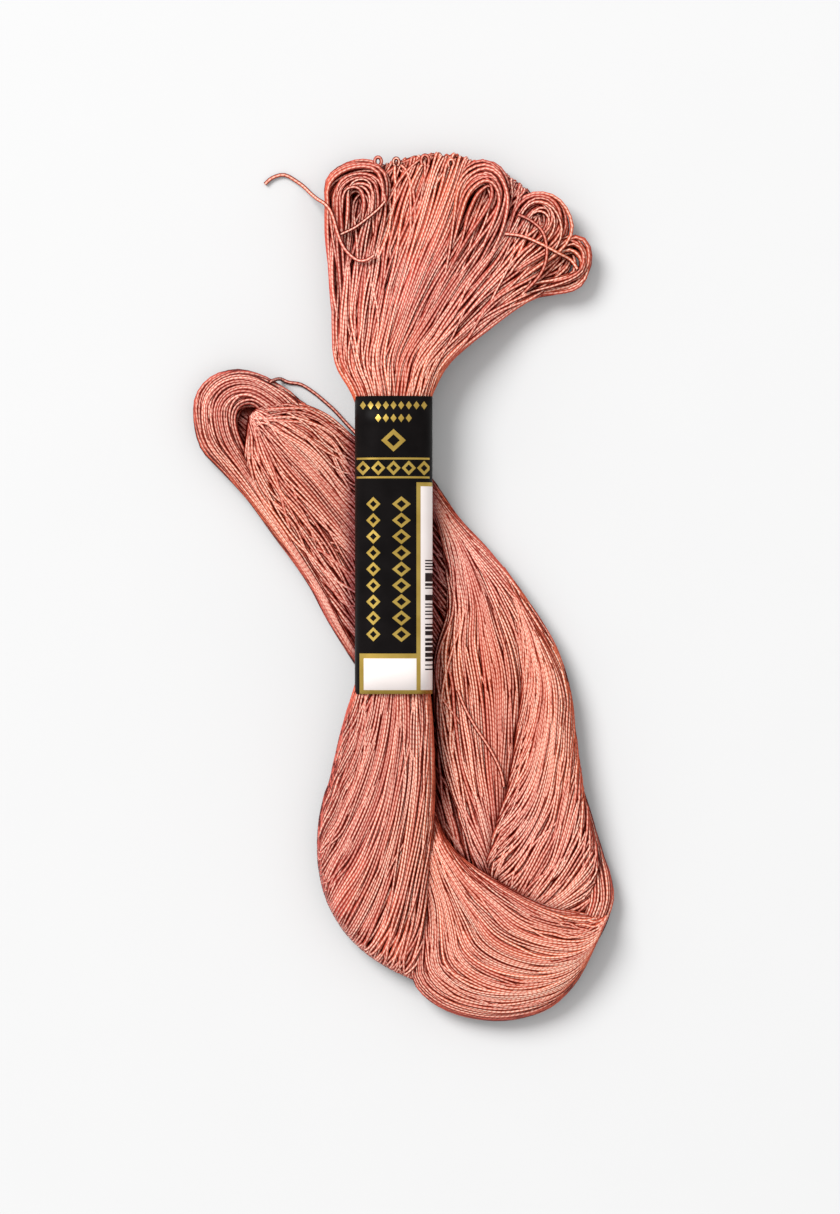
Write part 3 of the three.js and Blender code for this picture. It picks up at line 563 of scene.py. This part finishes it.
class Relief:
    """The height of the whole hank's upper side, on a grid of cells."""

    CELL = 0.5
    LOW = np.array([-48.0, -94.0])
    SHAPE = (192, 376)

    def __init__(self, laid):
        self.top = np.zeros(self.SHAPE)
        for paths in laid.values():
            points = smoothly_between(paths, 4).reshape(-1, 3)
            column, row = self.cells(points)
            np.maximum.at(self.top, (column, row), points[:, 2] + THREAD / 2)
        x0, x1 = ((BAND["x"] + side * BAND["width"] / 2 - self.LOW[0]) / self.CELL for side in (-1, 1))
        y0, y1 = ((BAND[end] - self.LOW[1]) / self.CELL for end in ("bottom", "top"))
        # The band counts as height here, so threads beside it lie in a hollow and get its painted shade.
        banded = self.top.copy()
        banded[int(x0) + 1 : int(x1), int(y0) + 1 : int(y1)] = BAND["z"] + BAND["height"] / 2
        self.around = blurred(blurred(banded, 4).T, 4).T
        self.near = blurred(blurred(self.top, 1).T, 1).T

    def cells(self, points):
        at = ((points[..., :2] - self.LOW) / self.CELL).astype(int)
        return (
            np.clip(at[..., 0], 0, self.SHAPE[0] - 1),
            np.clip(at[..., 1], 0, self.SHAPE[1] - 1),
        )

    # The thread material darkens threads by this as painted shade.
    def sunk(self, paths):
        """0 on the hank's upper side, up to 1 deep in a hollow of it."""
        depth = self.around[self.cells(paths)] - paths[..., 2] - THREAD / 2
        return np.clip(depth / 2.5, 0, 1)

    # The thread material darkens threads by this as painted shade.
    def covered(self, paths):
        """0 on the neighbouring threads, up to 1 under them, and down to -1 well clear of them."""
        depth = self.near[self.cells(paths)] - paths[..., 2] - THREAD / 2
        return np.clip(depth / 0.8 + 0.1, -1, 1)

    def draped(self, route, lift=0.55):
        """A route of (x, y) points as a path that lies on the hank."""
        fine = smooth_rows([tuple(point) for point in route], 6)
        column, row = self.cells(fine)
        reach = [-1, 0, 1]
        near = [
            self.top[np.clip(column + i, 0, None), np.clip(row + j, 0, None)] for i in reach for j in reach
        ]
        height = np.maximum(blurred(np.max(near, axis=0) + THREAD * lift - 0.2, 2), THREAD / 2)
        return np.column_stack([fine, height])


def smoothly_between(paths, parts):
    """More points on each path, on the straight lines between those it has."""
    share = np.arange(parts)[:, None, None] / parts
    made = [paths[:, :-1] * (1 - u) + paths[:, 1:] * u for u in share]
    return np.stack(made, axis=2).reshape(len(paths), -1, 3)


# ---------------------------------------------------------------- meshes


def thread_mesh(name, paths, seed=0, **depths):
    """One mesh of round threads, each with its ends closed.

    Its UV map "thread" runs once round each thread and along it in millimetres. The map "OFBake"
    gives each thread a strip of its own. "lot" is a number of its own for each thread. depths are
    "sunk", how deep it lies in a hollow, and "covered", how far it lies under its neighbours; the
    material darkens a thread by both as painted shade.
    """
    paths = np.asarray(paths, dtype=float)
    count, steps, _ = paths.shape
    tangent = np.gradient(paths, axis=1)
    tangent /= np.linalg.norm(tangent, axis=2, keepdims=True) + 1e-12
    side = np.cross(tangent, [0.0, 0.0, 1.0])
    steep = np.linalg.norm(side, axis=2, keepdims=True) < 0.15
    side = np.where(steep, np.roll(side, 1, axis=1), side)
    side /= np.linalg.norm(side, axis=2, keepdims=True) + 1e-12
    up = np.cross(side, tangent)
    angle = np.arange(SIDES) / SIDES * 2 * math.pi
    ring = (
        side[:, :, None] * np.cos(angle)[None, None, :, None]
        + up[:, :, None] * np.sin(angle)[None, None, :, None]
    )
    points = (paths[:, :, None] + ring * THREAD / 2).reshape(-1, 3) * MM
    index = np.arange(count * steps * SIDES).reshape(count, steps, SIDES)
    nxt = np.roll(index, -1, axis=2)
    quads = np.stack([index[:, :-1], nxt[:, :-1], nxt[:, 1:], index[:, 1:]], axis=-1)
    quad_loops = quads.reshape(-1)
    caps = np.concatenate([index[:, 0, ::-1], index[:, -1]]).reshape(-1)
    loops = np.concatenate([quad_loops, caps])
    quad_count, cap_count = len(quad_loops) // 4, len(caps) // SIDES
    starts = np.concatenate([np.arange(quad_count) * 4, len(quad_loops) + np.arange(cap_count) * SIDES])

    mesh = bpy.data.meshes.new(name)
    mesh.vertices.add(len(points))
    mesh.vertices.foreach_set("co", points.astype(np.float32).ravel())
    mesh.loops.add(len(loops))
    mesh.loops.foreach_set("vertex_index", loops.astype(np.int32))
    mesh.polygons.add(len(starts))
    mesh.polygons.foreach_set("loop_start", starts.astype(np.int32))
    mesh.update(calc_edges=True)

    length = np.concatenate(
        [np.zeros((count, 1)), np.cumsum(np.linalg.norm(np.diff(paths, axis=1), axis=2), axis=1)], axis=1
    )
    random = np.random.default_rng(seed + LOT_SEED)
    shift = random.uniform(0, 50, (count, 1))
    around = np.arange(SIDES + 1) / SIDES
    u = np.broadcast_to(around[None, None], (count, steps, SIDES + 1))
    v = np.broadcast_to((length + shift)[:, :, None], u.shape)
    strip = np.broadcast_to((np.arange(count)[:, None, None] + 0.1 + 0.8 * u) / count, u.shape)
    run = np.broadcast_to((length / length.max())[:, :, None] * 0.98 + 0.01, u.shape)

    def corners(across, along):
        grid = np.stack([across, along], axis=-1)
        quad = np.stack([grid[:, :-1, :-1], grid[:, :-1, 1:], grid[:, 1:, 1:], grid[:, 1:, :-1]], axis=-2)
        ends = np.concatenate([grid[:, 0, :SIDES][:, ::-1], grid[:, -1, :SIDES]])
        return np.concatenate([quad.reshape(-1, 2), ends.reshape(-1, 2)]).astype(np.float32).ravel()

    mesh.uv_layers.new(name="thread").data.foreach_set("uv", corners(u, v))
    mesh.uv_layers.new(name="OFBake").data.foreach_set("uv", corners(run, strip))
    lot = np.repeat(random.uniform(0, 1, count), steps * SIDES).astype(np.float32)
    mesh.attributes.new("lot", "FLOAT", "POINT").data.foreach_set("value", lot)
    for key in ("sunk", "covered"):
        depth = np.asarray(depths.get(key, np.zeros((count, steps))))
        depth = np.repeat(depth.reshape(-1), SIDES).astype(np.float32)
        mesh.attributes.new(key, "FLOAT", "POINT").data.foreach_set("value", depth)
    mesh.polygons.foreach_set("use_smooth", np.ones(len(starts), dtype=bool))
    mesh.validate()
    return mesh


def add_piece(name, mesh, material, body="root"):
    piece = bpy.data.objects.new(name, mesh)
    bpy.context.scene.collection.objects.link(piece)
    mesh.materials.append(material)
    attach(piece, body)
    return piece


def core_mesh(name, lock, points=24):
    """The inside of a lock, a plain closed loft under its threads.

    Its UV map "thread" counts threads round it, and runs along it in millimetres.
    """
    lay = Lay(lock["rows"], 1, 0)
    sections = range(0, len(lay.middle) - (2 if "closing" in lock else 0), 2)
    bm = bmesh.new()
    rings, where = [], {}
    for i in sections:
        side = lay.across[i] / np.linalg.norm(lay.across[i])
        wide = max(lay.half_width[i] - CORE_INSET, CORE_LEAST)
        high = max(lay.half_height[i] - CORE_INSET, CORE_LEAST)
        ring = []
        for k in range(points):
            a = k / points * 2 * math.pi
            share = math.cos(a) * wide / lay.half_width[i]
            point = lay.middle[i] + side * wide * math.cos(a) + lay.bow[i] * (1 - share**2)
            point[2] = max(point[2] + high * math.sin(a), CORE_FLOOR)
            vert = bm.verts.new(point * MM)
            where[vert] = (k, i)
            ring.append(vert)
        rings.append([bm.edges.new((ring[k], ring[(k + 1) % points])) for k in range(points)])
    for one, other in zip(rings, rings[1:]):
        bmesh.ops.bridge_loops(bm, edges=one + other)
    for end in (rings[0], rings[-1]):
        bmesh.ops.contextual_create(bm, geom=end)
    bmesh.ops.recalc_face_normals(bm, faces=bm.faces)
    across = float(np.median(lay.half_width + lay.half_height)) * math.pi / THREAD
    layer = bm.loops.layers.uv.new("thread")
    for face in bm.faces:
        around = [where[loop.vert][0] for loop in face.loops]
        for loop in face.loops:
            k, i = where[loop.vert]
            if max(around) - min(around) > points / 2 and k < points / 2:
                k += points
            loop[layer].uv = (k / points * round(across), i * STEP)
        face.smooth = True
    mesh = bpy.data.meshes.new(name)
    bm.to_mesh(mesh)
    bm.free()
    return mesh


# ---------------------------------------------------------------- materials


class Nodes:
    """Short ways to add and join the nodes of one tree."""

    def __init__(self, tree):
        self.tree = tree

    def add(self, kind, inputs=None, **settings):
        node = self.tree.nodes.new(kind)
        for key, value in settings.items():
            setattr(node, key, value)
        for key, value in (inputs or {}).items():
            if isinstance(value, bpy.types.NodeSocket):
                self.tree.links.new(value, node.inputs[key])
            else:
                node.inputs[key].default_value = value
        return node

    def math(self, operation, *values):
        return self.add("ShaderNodeMath", dict(enumerate(values)), operation=operation).outputs[0]

    def mix(self, factor, first, second):
        node = self.add("ShaderNodeMix", {0: factor, 6: first, 7: second}, data_type="RGBA")
        return node.outputs[2]


def new_material(name, roughness):
    material = bpy.data.materials.new(name)
    material.use_nodes = True
    nodes = Nodes(material.node_tree)
    shader = material.node_tree.nodes["Principled BSDF"]
    shader.inputs["Roughness"].default_value = roughness
    return material, nodes, shader


def cotton():
    """Glossy coral thread of two plies.

    Painted highlight makes it pale along its crest. Painted shade makes it darker in the groove between
    the plies, darker down its sides, and darkest where it lies against its neighbours, under them or
    deep in a hollow of the hank.
    """
    material, nodes, shader = new_material("cotton_thread", 0.38)
    uv = nodes.add("ShaderNodeUVMap", uv_map="thread").outputs[0]
    parts = nodes.add("ShaderNodeSeparateXYZ", {0: uv})
    lot = nodes.add("ShaderNodeAttribute", attribute_name="lot").outputs["Fac"]
    place = nodes.add("ShaderNodeTexCoord").outputs["Object"]
    around = nodes.math("MULTIPLY", parts.outputs[0], 2 * math.pi)
    rate = nodes.math("MULTIPLY_ADD", lot, 0.5, 2 * math.pi / PLY_PITCH - 0.25)
    along = nodes.math("MULTIPLY", parts.outputs[1], rate)
    phase = nodes.math("SUBTRACT", around, along)
    ply = nodes.math("POWER", nodes.math("ABSOLUTE", nodes.math("SINE", phase)), 0.6)
    height = nodes.math("SINE", around)
    # painted shade: top is 1 on a thread's crest and falls to 0 down its sides, from a point that differs
    # from thread to thread
    low = nodes.math("MULTIPLY_ADD", nodes.math("FRACT", nodes.math("MULTIPLY", lot, 7.3)), 0.42, 0.4)
    top = nodes.add("ShaderNodeMapRange", {0: height, 1: low, 2: 1.02}, interpolation_type="SMOOTHSTEP")
    top = top.outputs[0]
    # painted highlight: paler along the crest of each thread, stronger on some threads than on others
    crest = nodes.add("ShaderNodeMapRange", {0: height, 1: 0.90, 2: 1.0}).outputs[0]
    fibre_place = nodes.add("ShaderNodeCombineXYZ", {0: nodes.math("MULTIPLY", phase, 1.6), 1: lot})
    fibres = nodes.add("ShaderNodeTexNoise", {"Vector": fibre_place.outputs[0], "Scale": 2.0, "Detail": 2.0})
    drifts = nodes.add("ShaderNodeTexNoise", {"Vector": place, "Scale": 34.0, "Detail": 2.0}).outputs[0]
    drifts = nodes.add("ShaderNodeMapRange", {0: drifts, 1: 0.38, 2: 0.64}).outputs[0]
    rose = nodes.mix(lot, *ROSE)
    orange = nodes.mix(lot, *ORANGE)
    body = nodes.mix(drifts, rose, orange)
    # painted shade: the colour is darker in the groove between the plies
    body_with_groove_shade = nodes.mix(nodes.math("MULTIPLY_ADD", ply, 0.6, 0.4), PLY_GROOVE_PAINTED_SHADE, body)
    highlight_strength = nodes.math("MULTIPLY_ADD", lot, 0.6, 0.5)
    painted_highlight = nodes.math("MULTIPLY", nodes.math("MULTIPLY", crest, ply), highlight_strength)
    shade = nodes.mix(painted_highlight, body_with_groove_shade, CREST_HIGHLIGHT)
    shade = nodes.mix(nodes.math("MULTIPLY", fibres.outputs[0], 0.09), shade, FIBRE)
    # painted shade down the sides, left off the threads that lie well clear of their neighbours
    covered = nodes.add("ShaderNodeAttribute", attribute_name="covered").outputs["Fac"]
    clear = nodes.add("ShaderNodeMapRange", {0: covered, 1: -0.45, 2: -0.95, 4: 0.75}).outputs[0]
    shade = nodes.mix(nodes.math("MAXIMUM", top, clear), VALLEY_SHADE, shade)
    # painted shade where a thread lies under its neighbours or deep in a hollow of the hank
    for key, dark in PAINTED_SHADE_BY_DEPTH.items():
        depth = nodes.add("ShaderNodeAttribute", attribute_name=key).outputs["Fac"]
        depth = nodes.math("MAXIMUM", depth, 0.0)
        shade = nodes.add(
            "ShaderNodeMix", {0: depth, 6: shade, 7: dark}, data_type="RGBA", blend_type="MULTIPLY"
        ).outputs[2]
    nodes.tree.links.new(shade, shader.inputs["Base Color"])
    bump = nodes.add("ShaderNodeBump", {"Height": ply, "Strength": 0.7, "Distance": 0.00006})
    nodes.tree.links.new(bump.outputs[0], shader.inputs["Normal"])
    shader.inputs["Specular IOR Level"].default_value = 0.12
    shader.inputs["Specular Tint"].default_value = (1.0, 0.5, 0.38, 1)
    return material


def deep_cotton():
    """The threads inside the hank, seen through the gaps between the outer ones, in a darker coral that is
    painted shade.
    """
    material, nodes, shader = new_material("cotton_inside", 0.7)
    uv = nodes.add("ShaderNodeUVMap", uv_map="thread").outputs[0]
    parts = nodes.add("ShaderNodeSeparateXYZ", {0: uv})
    place = nodes.add("ShaderNodeTexCoord").outputs["Object"]
    noise = nodes.add("ShaderNodeTexNoise", {"Vector": place, "Scale": 120.0, "Detail": 3.0})
    sway = nodes.math("MULTIPLY", noise.outputs[0], 6.0)
    across = nodes.math("MULTIPLY", nodes.math("ADD", parts.outputs[0], sway), math.pi)
    strand = nodes.math("POWER", nodes.math("ABSOLUTE", nodes.math("SINE", across)), 0.8)
    shade = nodes.mix(strand, *INSIDE_PAINTED_SHADE)
    nodes.tree.links.new(shade, shader.inputs["Base Color"])
    bump = nodes.add("ShaderNodeBump", {"Height": strand, "Strength": 0.8, "Distance": 0.0003})
    nodes.tree.links.new(bump.outputs[0], shader.inputs["Normal"])
    return material


def paper():
    """Coated paper printed black, with gold rules and lozenges and bare white panels.

    The print is laid out in millimetres from above.
    """
    material, nodes, shader = new_material("printed_paper", 0.34)
    place = nodes.add("ShaderNodeTexCoord").outputs["Object"]
    parts = nodes.add("ShaderNodeSeparateXYZ", {0: place})
    x = nodes.math("MULTIPLY", parts.outputs[0], 1000)
    y = nodes.math("MULTIPLY", parts.outputs[1], 1000)
    upper = nodes.math("GREATER_THAN", parts.outputs[2], (BAND["z"] - PRINT_REACH) * MM)

    def between(value, low, high):
        return nodes.math("COMPARE", value, (low + high) / 2, (high - low) / 2)

    def box(x0, x1, y0, y1):
        return nodes.math("MULTIPLY", between(x, x0, x1), between(y, y0, y1))

    def either(masks):
        total = masks[0]
        for mask in masks[1:]:
            total = nodes.math("MAXIMUM", total, mask)
        return total

    def lozenges(way, start, pitch, long, middle, wide, inside):
        """A row of lozenges along x or y, one of them at start, kept inside a box."""
        along, across = (x, y) if way == "x" else (y, x)
        step = nodes.math("FRACT", nodes.math("MULTIPLY_ADD", along, 1 / pitch, 100.5 - start / pitch))
        step = nodes.math("ABSOLUTE", nodes.math("SUBTRACT", step, 0.5))
        run = nodes.math("MULTIPLY", step, pitch / long)
        side = nodes.math("ABSOLUTE", nodes.math("SUBTRACT", across, middle))
        side = nodes.math("MULTIPLY", side, 1 / wide)
        shape = nodes.math("LESS_THAN", nodes.math("ADD", run, side), 1.0)
        return nodes.math("MULTIPLY", shape, box(*inside))

    rules = [box(*rule) for rule in RULES]
    rows = [lozenges(*row) for row in LOZENGES]
    holes = [lozenges(*row) for row in LOZENGE_HOLES]
    gold = nodes.math("MULTIPLY", either(rules + rows), nodes.math("SUBTRACT", 1.0, either(holes)))
    gold = nodes.math("MULTIPLY", gold, upper)
    blank = nodes.math("MULTIPLY", either([box(*label) for label in LABELS]), upper)
    line = nodes.math("FLOOR", nodes.math("MULTIPLY", y, BARS_PER_MM))
    bars = nodes.add("ShaderNodeTexWhiteNoise", {1: line}, noise_dimensions="1D").outputs[0]
    bars = nodes.math("MULTIPLY", nodes.math("GREATER_THAN", bars, 0.5), box(*BAR_PANEL))
    noise = nodes.add("ShaderNodeTexNoise", {"Vector": place, "Scale": 260.0, "Detail": 4.0}).outputs[0]
    ink = nodes.mix(noise, *INK)
    foil = nodes.mix(noise, *FOIL)
    bare = nodes.mix(noise, *BARE_PAPER)
    shade = nodes.mix(blank, ink, bare)
    shade = nodes.mix(bars, shade, BARS)
    shade = nodes.mix(gold, shade, foil)
    nodes.tree.links.new(shade, shader.inputs["Base Color"])
    nodes.tree.links.new(nodes.math("MULTIPLY", gold, 0.75), shader.inputs["Metallic"])
    rough = nodes.math("MULTIPLY_ADD", noise, 0.16, 0.26)
    nodes.tree.links.new(rough, shader.inputs["Roughness"])
    creases = nodes.add("ShaderNodeTexNoise", {"Vector": place, "Scale": 70.0, "Detail": 3.0}).outputs[0]
    bump = nodes.add("ShaderNodeBump", {"Height": creases, "Strength": 0.35, "Distance": 0.0006})
    nodes.tree.links.new(bump.outputs[0], shader.inputs["Normal"])
    shader.inputs["Specular IOR Level"].default_value = 0.03
    return material


def table_top():
    """A plain pale surface."""
    material, nodes, shader = new_material("pale_surface", 0.85)
    place = nodes.add("ShaderNodeTexCoord").outputs["Object"]
    noise = nodes.add("ShaderNodeTexNoise", {"Vector": place, "Scale": 40.0, "Detail": 2.0})
    shade = nodes.mix(noise.outputs[0], *SURFACE)
    nodes.tree.links.new(shade, shader.inputs["Base Color"])
    shader.inputs["Specular IOR Level"].default_value = 0.1
    return material


# ---------------------------------------------------------------- the pieces


def band_outline(bm, y, grow, points=64):
    """A ring of vertices and edges round the band's section at y."""
    wide, high = BAND["width"] / 2 + grow, BAND["height"] / 2 + grow
    ring = []
    for k in range(points):
        a = k / points * 2 * math.pi
        c, s = math.cos(a), math.sin(a)
        power = 2 / BAND_SQUARENESS
        x = BAND["x"] + wide * math.copysign(abs(c) ** power, c)
        z = BAND["z"] + high * math.copysign(abs(s) ** power, s)
        ring.append(bm.verts.new(Vector((x, y, z)) * MM))
    return [bm.edges.new((ring[k], ring[(k + 1) % points])) for k in range(points)]


def make_band(material):
    bm = bmesh.new()
    wall = BAND["wall"]
    outer = [band_outline(bm, y, 0) for y in np.linspace(BAND["bottom"], BAND["top"], 12)]
    inner = [band_outline(bm, y, -wall) for y in (BAND["top"], BAND["bottom"])]
    rings = outer + inner
    for one, other in zip(rings, rings[1:] + rings[:1]):
        bmesh.ops.bridge_loops(bm, edges=one + other)
    bmesh.ops.recalc_face_normals(bm, faces=bm.faces)
    mesh = bpy.data.meshes.new("band_paper")
    bm.to_mesh(mesh)
    bm.free()
    for face in mesh.polygons:
        face.use_smooth = True
    piece = add_piece("band_paper", mesh, material)
    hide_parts("paper_band")


def make_loose_end(material):
    route = smooth_rows(LOOSE_END, 3)
    piece = add_piece("loose_thread", thread_mesh("loose_thread", route[None], 3), material)
    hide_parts("loose_end")


def top_loops(relief):
    """Paths of the tiny loops at the fan's upper edge."""
    made = []
    for x, y, wide, high in TOP_LOOPS:
        turns = np.linspace(-1.0, math.pi + 1.0, 16)
        floor = float(relief.top[relief.cells(np.array([[x, y - 1.5, 0]]))][0])
        height = max(min(floor, 7.0) - 0.6, 1.5)
        loop = [(x - wide * math.cos(a), y + high * math.sin(a), height + 0.2 * math.sin(a)) for a in turns]
        made.append(np.array(loop))
    return np.stack(made)


def make_hank(thread, inside):
    laid = {name: lay_threads(name) for name in LOCKS}
    relief = Relief(laid)
    for number, (name, paths) in enumerate(laid.items()):
        mesh = thread_mesh(
            "threads_" + name, paths, number, sunk=relief.sunk(paths), covered=relief.covered(paths)
        )
        piece = add_piece("threads_" + name, mesh, thread)
        core = add_piece("inside_" + name, core_mesh("inside_" + name, LOCKS[name]), inside)
        for part in (piece, core):
            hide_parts("hank")
    strays = [relief.draped(route) for route in STRAYS]
    even = np.linspace(0, 1, 30)
    strays = [
        np.column_stack([np.interp(even, np.linspace(0, 1, len(path)), path[:, k]) for k in range(3)])
        for path in strays
    ]
    for name, paths in (("threads_stray", np.stack(strays)), ("threads_top_loops", top_loops(relief))):
        piece = add_piece(name, thread_mesh(name, paths, 40), thread)
        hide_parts("hank")


def make_stage():
    bm = bmesh.new()
    bmesh.ops.create_grid(bm, x_segments=1, y_segments=1, size=STAGE_SIZE)
    mesh = bpy.data.meshes.new("floor")
    bm.to_mesh(mesh)
    bm.free()
    floor = bpy.data.objects.new("floor", mesh)
    bpy.context.scene.collection.objects.link(floor)
    mesh.materials.append(table_top())


def make_camera():
    view_height = FRAME[1] * MM_PER_PIXEL * MM
    data = bpy.data.cameras.new("camera")
    data.sensor_fit = "VERTICAL"
    data.sensor_height = SENSOR
    data.lens = SENSOR * CAMERA_HEIGHT / view_height
    data.clip_start = 0.05
    data.clip_end = 20
    camera = bpy.data.objects.new("camera", data)
    x = (FRAME[0] / 2 - AXIS_PIXEL[0]) * MM_PER_PIXEL * MM
    y = (AXIS_PIXEL[1] - FRAME[1] / 2) * MM_PER_PIXEL * MM
    camera.location = (x, y, CAMERA_HEIGHT + HANK_MIDDLE)
    bpy.context.scene.collection.objects.link(camera)
    bpy.context.scene.camera = camera


def make_light(name, place, size, power):
    data = bpy.data.lights.new(name, "AREA")
    data.shape = "DISK"
    data.size = size
    data.energy = power
    lamp = bpy.data.objects.new(name, data)
    lamp.location = place
    lamp.rotation_euler = (-Vector(place)).to_track_quat("-Z", "Y").to_euler()
    bpy.context.scene.collection.objects.link(lamp)


def make_lights():
    make_light("key", **KEY_LIGHT)
    world = bpy.data.worlds.new("world")
    bpy.context.scene.world = world
    world.use_nodes = True
    background = world.node_tree.nodes["Background"]
    background.inputs["Color"].default_value = (1, 1, 1, 1)
    background.inputs["Strength"].default_value = WORLD_STRENGTH
    bpy.context.scene.view_settings.view_transform = "Standard"


def main():
    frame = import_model()
    assert "hank" in frame["nodes"]
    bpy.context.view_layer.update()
    make_camera()
    thread = cotton()
    make_loose_end(thread)
    make_hank(thread, deep_cotton())
    make_band(paper())
    make_stage()
    make_lights()


main()
